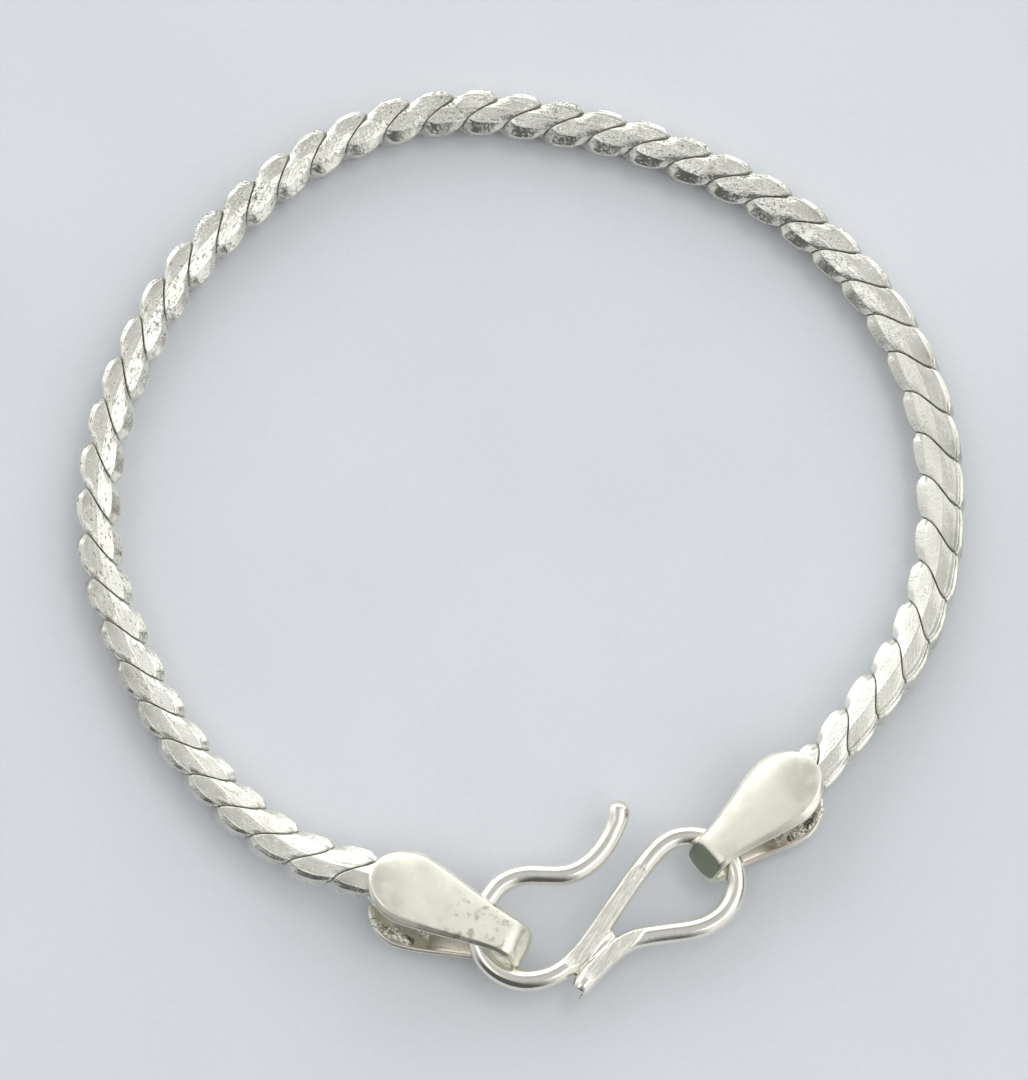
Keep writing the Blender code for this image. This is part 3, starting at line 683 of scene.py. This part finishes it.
def build_hook(settings, left, right, material):
    """S-hook of one wire through both folds, filed flat along its shank, with its soldered joint."""
    left_eye = left.at([EYE_SETBACK, 0, 0])
    right_eye = right.at([EYE_SETBACK, 0, 0])
    span = np.linalg.norm(right_eye - left_eye)
    forward = unit(right_eye - left_eye)
    outward = unit(np.cross(forward, UP))
    normal = np.cross(outward, forward)
    places = [left_eye + span * (along * forward + out * outward) for along, out in HOOK_PATH]
    centres, _ = smooth_line(places, WIRE_STEP)
    beyond = WIRE_STEP * np.arange(3, 0, -1)[:, None] * unit(centres[0] - centres[3])
    centres = np.concatenate([centres[0] + beyond, centres])
    tangents = rows_unit(np.gradient(centres, axis=0))
    side = rows_unit(np.cross(normal, tangents))
    lift = rows_unit(np.cross(tangents, side))
    radius = np.full(len(centres), settings.wire / 2)
    from_tip = np.arange(len(centres)) * WIRE_STEP
    radius *= np.sqrt(np.clip(1.0 - (1.0 - np.clip(from_tip / TIP_ROUND, 0.0, 1.0)) ** 2, 0.30, 1.0))
    radius *= 1.0 + TIP_SWELL * np.exp(-((from_tip - 0.0010) / 0.0008) ** 2)
    radius *= 0.86 + 0.14 * smoothstep(from_tip[::-1] / 0.0005)
    turns = even_turns(settings.sides)
    ring = np.cos(turns)[None, :, None] * side[:, None, :] + np.sin(turns)[None, :, None] * lift[:, None, :]
    points = centres[:, None, :] + radius[:, None, None] * ring
    joint = left_eye + span * (JOINT_PLACE[0] * forward + JOINT_PLACE[1] * outward)
    way = unit(JOINT_WAY[0] * forward + JOINT_WAY[1] * outward)
    faces = tube_faces(*points.shape[:2])
    points = points.reshape(-1, 3)
    levels = np.linspace(-1.0, 1.0, 25)[:, None, None]
    turns = even_turns(40)[None, :, None]
    fullness = np.maximum(np.sqrt(np.clip(1.0 - levels ** 2, 0.0, 1.0)), 0.12)
    lump = joint + levels * settings.joint_length / 2 * way + fullness / 2 * (
        JOINT_WIDTH * np.cos(turns) * np.cross(normal, way) + JOINT_HEIGHT * np.sin(turns) * normal)
    faces += tube_faces(25, 40, len(points))
    points = np.concatenate([points, lump.reshape(-1, 3)])
    end_way = unit(centres[-1] - centres[-4])
    spur_side = unit(np.cross(normal, end_way))
    turns = even_turns(12)[:, None]
    spur = []
    for step, size in SPUR:
        middle = centres[-1] + step * end_way + (0.00040 + 0.30 * max(step, 0.0)) * spur_side
        middle -= 0.0003 * normal
        spur.append(middle + size * (np.cos(turns) * spur_side + np.sin(turns) * normal))
    faces += tube_faces(4, 12, len(points))
    points = np.concatenate([points, np.array(spur).reshape(-1, 3)])
    points, faces = blended(points, faces, settings.grain, 5)
    height = (points - left_eye) @ normal
    along_joint = np.abs((points - joint) @ way + FLAT_SHIFT)
    across_joint = np.abs((points - joint) @ np.cross(normal, way))
    limit = settings.filed_height + 0.0006 * (
        smoothstep((along_joint - FLAT_HALF_LENGTH) / 0.0022)
        + smoothstep((across_joint - FLAT_HALF_WIDTH) / 0.0006))
    filed = smoothstep((height - limit) / 0.00003)
    points += (np.minimum(height, limit) - height)[:, None] * normal
    points[:, 2] = np.maximum(points[:, 2], 0.0)
    piece = make_piece("wire_s_hook", points, faces, [material], sharp=50.0)
    carry(piece, "filed", filed)
    return piece


# Kind of a group's socket by the kind of its value
SOCKETS = {type(None): "NodeSocketVector", float: "NodeSocketFloat", tuple: "NodeSocketColor"}


class Nodes:
    """Short hand for placing and linking the nodes of one tree."""

    def __init__(self, tree):
        self.tree = tree

    def add(self, kind, values=None, **settings):
        """A node of this kind with its settings and the values of its inputs."""
        node = self.tree.nodes.new(kind)
        for name, value in settings.items():
            setattr(node, name, value)
        for name, value in (values or {}).items():
            if isinstance(value, bpy.types.NodeSocket):
                self.tree.links.new(value, node.inputs[name])
            else:
                node.inputs[name].default_value = value
        return node

    def math(self, operation, first, second, clamp=False):
        """The result of a Math node."""
        node = self.add("ShaderNodeMath", {0: first, 1: second}, operation=operation, use_clamp=clamp)
        return node.outputs[0]

    def times(self, first, second, clamp=False):
        """The first number times the second."""
        return self.math("MULTIPLY", first, second, clamp)

    def plus(self, first, second):
        """The first number plus the second."""
        return self.math("ADD", first, second)

    def minus(self, first, second):
        """The first number less the second."""
        return self.math("SUBTRACT", first, second)

    def mix(self, share, first, second):
        """A mix of two colours."""
        return self.add("ShaderNodeMix", {0: share, 6: first, 7: second}, data_type="RGBA").outputs[2]

    def spread(self, value, low, high, to_low=0.0, to_high=1.0):
        """A value stretched from one range to another and kept inside it."""
        values = {"Value": value, "From Min": low, "From Max": high, "To Min": to_low, "To Max": to_high}
        return self.add("ShaderNodeMapRange", values, clamp=True).outputs["Result"]

    def noise(self, vector, scale, detail, roughness=0.5):
        """Soft noise between 0 and 1."""
        return self.add("ShaderNodeTexNoise", {"Vector": vector, "Scale": scale, "Detail": detail,
                                               "Roughness": roughness}).outputs["Fac"]

    def parts(self, vector):
        """The three numbers of a vector."""
        return self.add("ShaderNodeSeparateXYZ", {0: vector}).outputs

    def field(self, name, output="Fac"):
        """What the points of the piece carry under this name."""
        return self.add("ShaderNodeAttribute", attribute_name=name).outputs[output]

    def own_place(self):
        """Place on the piece, in metres."""
        return self.add("ShaderNodeTexCoord").outputs["Object"]

    def group(self, group, values):
        """The outputs of a node group with these values."""
        return self.add("ShaderNodeGroup", values, node_tree=group).outputs


def new_group(name, inputs, outputs):
    """An empty shader node group with named sockets, and its inside ends."""
    group = bpy.data.node_groups.new(name, "ShaderNodeTree")
    for label, value in inputs.items():
        socket = group.interface.new_socket(name=label, in_out="INPUT", socket_type=SOCKETS[type(value)])
        if value is not None:
            socket.default_value = value
    for label in outputs:
        kind = SOCKETS[tuple if label == "Color" else float]
        group.interface.new_socket(name=label, in_out="OUTPUT", socket_type=kind)
    nodes = Nodes(group)
    return group, nodes, nodes.add("NodeGroupInput").outputs, nodes.add("NodeGroupOutput").inputs


def stretched_group(label, output, scales, deep_scale, detail, roughness):
    """A group with noise that is stretched along the metal, with its nodes, its end and that noise."""
    group, nodes, given, wanted = new_group(
        label, {"Vector": None, "Across Scale": scales[0], "Along Scale": scales[1]}, [output])
    along, across, deep = nodes.parts(given["Vector"])
    joined = nodes.add("ShaderNodeCombineXYZ", {
        0: nodes.times(along, given["Along Scale"]), 1: nodes.times(across, given["Across Scale"]),
        2: nodes.times(deep, given[deep_scale])}).outputs[0]
    return group, nodes, wanted[output], nodes.noise(joined, 1.0, detail, roughness)


def roll_lines_group():
    """Fine lines that run along the metal, as the rolls and the file leave them."""
    group, _, end, noise = stretched_group("Roll Lines", "Lines", (9000.0, 300.0), "Across Scale", 4.0, 0.6)
    group.links.new(noise, end)
    return group


def pits_group():
    """Small pits and specks, with a mask that says where they gather."""
    group, nodes, given, wanted = new_group(
        "Pits", {"Vector": None, "Scale": 4500.0, "Patch Scale": 450.0, "Amount": 0.5}, ["Pits", "Patches"])
    grain = nodes.noise(given["Vector"], given["Scale"], 3.0, 0.6)
    patch = nodes.noise(given["Vector"], given["Patch Scale"], 3.0, 0.55)
    patches = nodes.spread(patch, 0.46, 0.62)
    holes = nodes.spread(grain, 0.55, 0.66)
    group.links.new(nodes.times(holes, nodes.times(patches, given["Amount"])), wanted["Pits"])
    group.links.new(patches, wanted["Patches"])
    return group


def dashes_group():
    """Small dark dashes that run along the metal."""
    group, nodes, end, noise = stretched_group("Dashes", "Dashes", (5200.0, 1500.0), "Along Scale", 2.0, 0.5)
    group.links.new(nodes.spread(noise, 0.61, 0.68), end)
    return group


def tarnish_group():
    """Colour of silver that is a little dull and warm in uneven places."""
    group, nodes, given, wanted = new_group(
        "Uneven Tarnish", {"Vector": None, "Scale": 260.0, "Bright": (0.9, 0.89, 0.82, 1.0),
                           "Dull": (0.5, 0.47, 0.38, 1.0), "Amount": 0.25}, ["Color", "Mask"])
    cloud = nodes.noise(given["Vector"], given["Scale"], 6.0, 0.6)
    mask = nodes.times(nodes.spread(cloud, 0.45, 0.75), given["Amount"], clamp=True)
    group.links.new(nodes.mix(mask, given["Bright"], given["Dull"]), wanted["Color"])
    group.links.new(mask, wanted["Mask"])
    return group


def metal(name):
    """A new metal with its nodes, what links them, its shader and a bump that feeds the shader."""
    material = bpy.data.materials.new(name)
    material.use_nodes = True
    nodes = Nodes(material.node_tree)
    shader = material.node_tree.nodes["Principled BSDF"]
    shader.inputs["Metallic"].default_value = 1.0
    bump = nodes.add("ShaderNodeBump", {"Strength": 1.0, "Distance": 1.0})
    link = material.node_tree.links.new
    link(bump.outputs["Normal"], shader.inputs["Normal"])
    return material, nodes, link, shader, bump


def rolled_silver(settings, groups):
    """Rolled silver: fine lengthwise lines, pits in patches, painted shade in the grooves and painted shade
    on the outer ends of the leaves.
    """
    material, nodes, link, shader, bump = metal("rolled_silver")
    lay = nodes.field("lay", "Vector")
    leaf = nodes.field("leaf", "Vector")
    groove = nodes.field("groove")
    place = nodes.own_place()
    along, across, share = nodes.parts(leaf)
    worked = nodes.times(nodes.spread(share, 0.30, 0.40), nodes.spread(share, 0.74, 0.66))
    rough_part = nodes.plus(0.25, nodes.times(worked, 0.75))
    lines = nodes.group(groups["lines"], {"Vector": lay, "Across Scale": 4800.0,
                                          "Along Scale": 260.0})["Lines"]
    pits = nodes.group(groups["pits"], {"Vector": place, "Amount": 1.0})
    specks = nodes.times(pits["Pits"], rough_part)
    dashes = nodes.group(groups["dashes"], {"Vector": lay})["Dashes"]
    for fade in DASH_FADES:
        dashes = nodes.times(dashes, nodes.spread(share, *fade))
    tarnish = nodes.group(groups["tarnish"], {"Vector": place, "Bright": settings.silver[:],
                                              "Dull": (0.62, 0.61, 0.52, 1.0), "Amount": 0.55})
    # Painted shade: the outer part of each leaf, towards its end, is darkened to a dull grey-green. It is
    # darker where the tarnish cloud is dense.
    tip = nodes.times(nodes.spread(across, -0.25, -0.60), nodes.spread(along, 0.45, 0.75))
    tip = nodes.times(tip, nodes.spread(tarnish["Mask"], 0.05, 0.35, 0.25, 0.65))
    shaded_leaf_ends = nodes.mix(tip, tarnish["Color"], (0.42, 0.43, 0.37, 1.0))
    pitted = nodes.mix(nodes.times(specks, 0.85), shaded_leaf_ends, (0.22, 0.22, 0.18, 1.0))
    pitted = nodes.mix(nodes.times(dashes, 0.8), pitted, (0.30, 0.31, 0.24, 1.0))
    # Painted shade: the grooves and the layer steps take the groove shade colour.
    deep = nodes.times(groove, 0.7)
    link(nodes.mix(deep, pitted, settings.groove_shade[:]), shader.inputs["Base Color"])
    rough = nodes.plus(nodes.spread(lines, 0.3, 0.7, 0.16, 0.28), nodes.times(groove, 0.3))
    link(nodes.plus(rough, nodes.times(pits["Patches"], 0.06)), shader.inputs["Roughness"])
    grain = nodes.noise(place, 5200.0, 2.0)
    coarse = nodes.noise(place, 1500.0, 2.0)
    coarse = nodes.times(nodes.times(coarse, rough_part), 0.00005)
    height = nodes.minus(nodes.times(lines, 0.000022), nodes.times(specks, 0.00006))
    height = nodes.minus(height, nodes.times(dashes, 0.00003))
    height = nodes.plus(height, nodes.times(nodes.times(grain, rough_part), 0.000010))
    height = nodes.plus(height, coarse)
    link(height, bump.inputs["Height"])
    return material


def satin_silver(settings, groups):
    """Satin sheet, milky and a little warm, with faint stains and a painted dark reflection on the filed
    flat.
    """
    material, nodes, link, shader, bump = metal("satin_silver")
    place = nodes.own_place()
    tarnish = nodes.group(groups["tarnish"], {"Vector": place, "Scale": 500.0, "Bright": settings.silver[:],
                                              "Dull": settings.stain[:], "Amount": 0.22})
    pits = nodes.group(groups["pits"], {"Vector": place, "Scale": 6000.0, "Patch Scale": 700.0})
    leaf = nodes.field("leaf", "Vector")
    along, _, deep = nodes.parts(leaf)
    neck = nodes.times(nodes.spread(along, 0.46, 0.60), nodes.spread(along, 1.0, 0.90))
    spots = nodes.noise(place, 1500.0, 3.0)
    side = nodes.parts(place)[0]
    neck = nodes.times(neck, nodes.spread(side, 0.006, 0.0, 0.08, 1.0))
    spots = nodes.times(neck, nodes.spread(spots, 0.54, 0.68, 0.0, 0.7))
    stained = nodes.mix(spots, tarnish["Color"], (0.36, 0.35, 0.25, 1.0))
    inside = nodes.times(nodes.spread(deep, -0.42, -0.36), nodes.spread(deep, 0.30, 0.20))
    inside = nodes.times(inside, nodes.spread(along, 0.84, 0.74))
    rosy = nodes.mix(nodes.times(inside, 0.6), stained, (0.86, 0.76, 0.70, 1.0))
    # Painted reflection: the filed flat on the right cap's fold is coloured dark grey-green. This stands in
    # for the dark surroundings it mirrors.
    filed = nodes.field("filed")
    link(nodes.mix(nodes.times(filed, 0.92), rosy, (0.30, 0.35, 0.28, 1.0)), shader.inputs["Base Color"])
    link(nodes.spread(pits["Patches"], 0.0, 1.0, 0.30, 0.40), shader.inputs["Roughness"])
    fine = nodes.noise(place, 9000.0, 3.0)
    link(nodes.minus(nodes.times(fine, 0.000008),
                     nodes.times(pits["Pits"], 0.00001)), bump.inputs["Height"])
    return material


def grainy_solder(settings, groups):
    """Dark grainy solder with bright grains."""
    material, nodes, link, shader, bump = metal("grainy_solder")
    place = nodes.own_place()
    grain = nodes.add("ShaderNodeTexVoronoi", {"Vector": place, "Scale": 4200.0}).outputs["Distance"]
    tarnish = nodes.group(groups["tarnish"], {"Vector": place, "Scale": 1500.0, "Bright": settings.silver[:],
                                              "Dull": settings.solder[:], "Amount": 2.6})
    link(tarnish["Color"], shader.inputs["Base Color"])
    shader.inputs["Roughness"].default_value = 0.34
    link(nodes.times(grain, -0.00012), bump.inputs["Height"])
    return material


def wire_silver(settings, groups):
    """Bright wire with fine drawn lines and file marks."""
    material, nodes, link, shader, bump = metal("wire_silver")
    place = nodes.own_place()
    tarnish = nodes.group(groups["tarnish"], {"Vector": place, "Scale": 500.0, "Bright": settings.silver[:],
                                              "Dull": (0.60, 0.56, 0.42, 1.0), "Amount": 0.30})
    link(tarnish["Color"], shader.inputs["Base Color"])
    turned = nodes.add("ShaderNodeMapping", {"Vector": place, "Rotation": (0.0, 0.0, math.radians(-56.0))})
    lines = nodes.group(groups["lines"], {"Vector": turned.outputs[0], "Across Scale": 7000.0,
                                          "Along Scale": 260.0})["Lines"]
    filed = nodes.field("filed")
    link(nodes.spread(lines, 0.3, 0.7, 0.10, 0.19), shader.inputs["Roughness"])
    scratch = nodes.plus(0.000008, nodes.times(filed, 0.00005))
    link(nodes.times(lines, scratch), bump.inputs["Height"])
    return material


def effect_groups():
    """The node groups that the metals share, made once."""
    made = {"lines": ("Roll Lines", roll_lines_group), "pits": ("Pits", pits_group),
            "dashes": ("Dashes", dashes_group), "tarnish": ("Uneven Tarnish", tarnish_group)}
    return {key: bpy.data.node_groups.get(name) or make() for key, (name, make) in made.items()}


def both_caps(scene):
    """The left and the right cap's places."""
    return (Cap(scene.bracelet_caps, LEFT_CAP), Cap(scene.bracelet_caps, RIGHT_CAP))


def take_over(piece, node):
    """Lets the piece stand for its solid and ride with the bracelet."""
    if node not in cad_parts:
        raise RuntimeError("The frame has no solid named " + node)
    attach(piece, "root")
    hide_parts(node)


class BRACELET_OT_strands(Operator):
    """Build the two twisted strands of the braid"""

    bl_idname = "bracelet.strands"
    bl_label = "Build Strands"

    def execute(self, context):
        scene = context.scene
        left, right = both_caps(scene)
        braid = Braid(scene.bracelet_braid, left, right)
        material = rolled_silver(scene.bracelet_braid, effect_groups())
        for number in range(2):
            piece = build_strand(scene.bracelet_braid, braid, number, material)
            take_over(piece, "strand_%d" % (number + 1))
        return {"FINISHED"}


class BRACELET_OT_caps(Operator):
    """Build the two fold-over end caps"""

    bl_idname = "bracelet.caps"
    bl_label = "Build End Caps"

    def execute(self, context):
        scene = context.scene
        settings = scene.bracelet_caps
        groups = effect_groups()
        satin = satin_silver(settings, groups)
        solder = grainy_solder(settings, groups)
        for side, cap in zip(("left", "right"), both_caps(scene)):
            piece = build_cap("folded_cap_" + side, settings, cap, satin, solder)
            take_over(piece, "end_cap_" + side)
        return {"FINISHED"}


class BRACELET_OT_hook(Operator):
    """Build the S-hook"""

    bl_idname = "bracelet.hook"
    bl_label = "Build S-Hook"

    def execute(self, context):
        scene = context.scene
        left, right = both_caps(scene)
        material = wire_silver(scene.bracelet_hook, effect_groups())
        piece = build_hook(scene.bracelet_hook, left, right, material)
        take_over(piece, "s_hook")
        return {"FINISHED"}


class BRACELET_OT_stage(Operator):
    """Set the floor, the light and the camera"""

    bl_idname = "bracelet.stage"
    bl_label = "Set Stage"

    def execute(self, context):
        settings = context.scene.bracelet_stage
        build_floor(settings)
        build_light(settings)
        build_camera(context.scene, settings)
        return {"FINISHED"}


def build_floor(settings):
    """A wide pale surface with a faint mottle."""
    share = np.linspace(-0.9, 0.9, 13)
    grid = np.stack(np.meshgrid(share, share), -1).reshape(-1, 2)
    points = np.column_stack([grid, np.full(len(grid), -0.00001)])
    material = bpy.data.materials.new("pale_surface")
    material.use_nodes = True
    nodes = Nodes(material.node_tree)
    shader = material.node_tree.nodes["Principled BSDF"]
    place = nodes.own_place()
    cloud = nodes.noise(place, 60.0, 5.0)
    grain = nodes.noise(place, 2400.0, 2.0)
    low = [value * 0.97 for value in settings.floor_colour[:3]] + [1.0]
    high = [min(value * 1.03, 1.0) for value in settings.floor_colour[:3]] + [1.0]
    even = nodes.plus(nodes.times(cloud, 0.6), nodes.times(grain, 0.4))
    mottle = nodes.mix(nodes.spread(even, 0.3, 0.7), low, high)
    material.node_tree.links.new(mottle, shader.inputs["Base Color"])
    shader.inputs["Roughness"].default_value = 0.75
    shader.inputs["Specular IOR Level"].default_value = 0.2
    floor = make_piece("pale_floor", points, grid_faces(13, 13, False), [material])


def light_patch(nodes, way, below, azimuth, height, core, edge, value):
    """Lays one soft-edged patch of light or shade over the studio's walls, and gives the new brightness."""
    turn = math.radians(azimuth)
    lift = math.radians(height)
    middle = (math.cos(turn) * math.cos(lift), math.sin(turn) * math.cos(lift), math.sin(lift))
    facing = nodes.add("ShaderNodeVectorMath", {0: way, 1: middle}, operation="DOT_PRODUCT").outputs["Value"]
    mask = nodes.spread(facing, math.cos(math.radians(edge)), math.cos(math.radians(core)))
    return nodes.plus(nodes.times(below, nodes.minus(1.0, mask)), nodes.times(mask, value))


def build_light(settings):
    """A pale studio with a wide bright side, a darker front, and one large soft light."""
    world = bpy.data.worlds.new("studio")
    bpy.context.scene.world = world
    world.use_nodes = True
    nodes = Nodes(world.node_tree)
    background = world.node_tree.nodes["Background"]
    way = nodes.add("ShaderNodeTexCoord").outputs["Generated"]
    bright = PLAIN_WALL
    for patch in STUDIO_PATCHES:
        bright = light_patch(nodes, way, bright, *patch)
    tint = nodes.add("ShaderNodeVectorMath", {0: settings.sky_tint[:3], "Scale": bright}, operation="SCALE")
    world.node_tree.links.new(tint.outputs[0], background.inputs["Color"])
    background.inputs["Strength"].default_value = settings.sky_strength
    lamp = bpy.data.lights.new("soft_light", "AREA")
    lamp.shape = "RECTANGLE"
    lamp.size, lamp.size_y = LAMP_SIZE
    lamp.energy = settings.key_power
    soft = bpy.data.objects.new("soft_light", lamp)
    soft.location = LAMP_PLACE
    soft.visible_glossy = False
    soft.rotation_euler = (-soft.location).to_track_quat("-Z", "Y").to_euler()
    bpy.context.scene.collection.objects.link(soft)
    bpy.context.scene.view_settings.view_transform = "Standard"


def build_camera(scene, settings):
    """The camera at the photographed angle."""
    lens = bpy.data.cameras.new("view")
    lens.lens = settings.lens
    lens.sensor_width = 36.0
    lens.sensor_fit = "HORIZONTAL"
    lens.clip_start = 0.01
    camera = bpy.data.objects.new("view", lens)
    turn = math.radians(settings.elevation)
    up = np.array([0.0, math.sin(turn), math.cos(turn)])
    aim = CAMERA_AIM + STAND - CAMERA_DROP * up - CAMERA_SHIFT
    place = aim + settings.distance * np.array([0.0, -math.cos(turn), math.sin(turn)])
    camera.location = place
    camera.rotation_euler = (math.pi / 2 - turn, 0.0, 0.0)
    scene.collection.objects.link(camera)
    scene.camera = camera


class BRACELET_PT_panel(Panel):
    """Sizes, colours and builders of the bracelet"""

    bl_idname = "BRACELET_PT_panel"
    bl_label = "Braided Bracelet"
    bl_space_type = "VIEW_3D"
    bl_region_type = "UI"
    bl_category = "Bracelet"

    def draw(self, context):
        layout = self.layout
        for label, group, _, operator in SECTIONS:
            box = layout.box()
            box.label(text=label)
            settings = getattr(context.scene, group)
            for name in settings.__annotations__:
                box.prop(settings, name)
            box.operator(operator.bl_idname)


SECTIONS = [
    ("Strands", "bracelet_braid", BraidSettings, BRACELET_OT_strands),
    ("End caps", "bracelet_caps", CapSettings, BRACELET_OT_caps),
    ("S-hook", "bracelet_hook", HookSettings, BRACELET_OT_hook),
    ("Stage", "bracelet_stage", StageSettings, BRACELET_OT_stage),
]
CLASSES = [part[2] for part in SECTIONS] + [part[3] for part in SECTIONS] + [BRACELET_PT_panel]


def register():
    """Adds the bracelet's settings, builders and panel."""
    for made in CLASSES:
        bpy.utils.register_class(made)
    for _, name, kind, _ in SECTIONS:
        setattr(bpy.types.Scene, name, PointerProperty(type=kind))


def unregister():
    """Takes the bracelet's settings, builders and panel away."""
    for _, name, _, _ in SECTIONS:
        delattr(bpy.types.Scene, name)
    for made in reversed(CLASSES):
        bpy.utils.unregister_class(made)


def main():
    """Builds the whole bracelet and its stage."""
    register()
    bpy.ops.bracelet.strands()
    bpy.ops.bracelet.caps()
    bpy.ops.bracelet.hook()
    bpy.ops.bracelet.stage()


if __name__ == "__main__":
    main()
